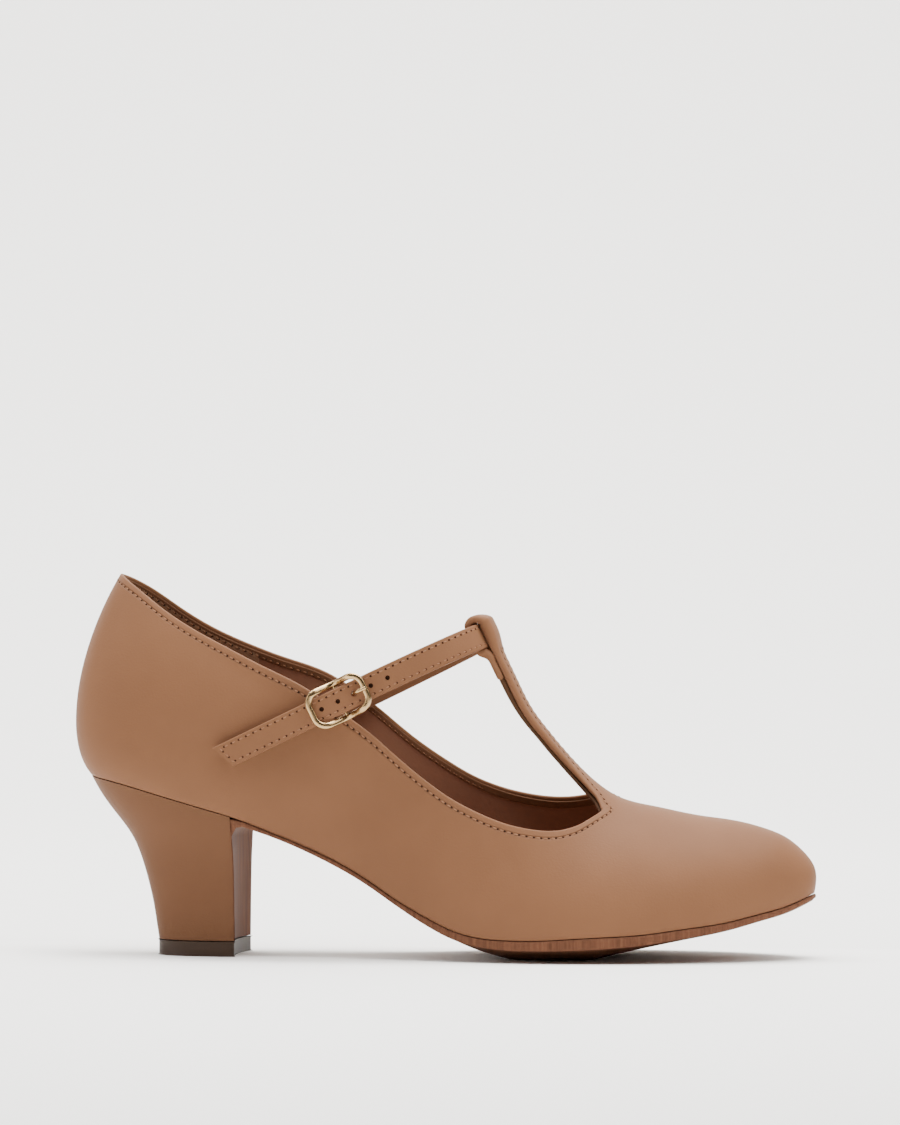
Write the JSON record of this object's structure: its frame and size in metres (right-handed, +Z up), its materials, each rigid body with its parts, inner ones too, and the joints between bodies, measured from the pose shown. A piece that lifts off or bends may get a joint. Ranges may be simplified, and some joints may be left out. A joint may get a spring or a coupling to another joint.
{
  "type": "character shoe",
  "caption": "Right leather T-strap pump on a flared heel, buckled across the ankle, for stage and folk dance.",
  "frame": {"origin": "middle of the shoe's box, on the floor", "axes": "+X towards the toe, +Y towards the inner side of the foot, +Z up"},
  "size_m": [0.2488, 0.0774, 0.1263],
  "materials": {
    "upper_leather": "smooth satin tan leather",
    "lining_leather": "matte brown lining leather",
    "sole_leather": "polished dark brown sole leather",
    "lift_rubber": "matte dark brown rubber",
    "pale_gold": "polished pale gold plate"
  },
  "bodies": {
    "root": {"upper": "upper_leather", "insole": "lining_leather", "outsole": "sole_leather", "heel": "upper_leather", "top_lift": "lift_rubber", "ankle_strap": "upper_leather", "buckle_frame": "pale_gold", "buckle_prong": "pale_gold", "buckle_tab": "upper_leather"}
  },
  "joints": []
}
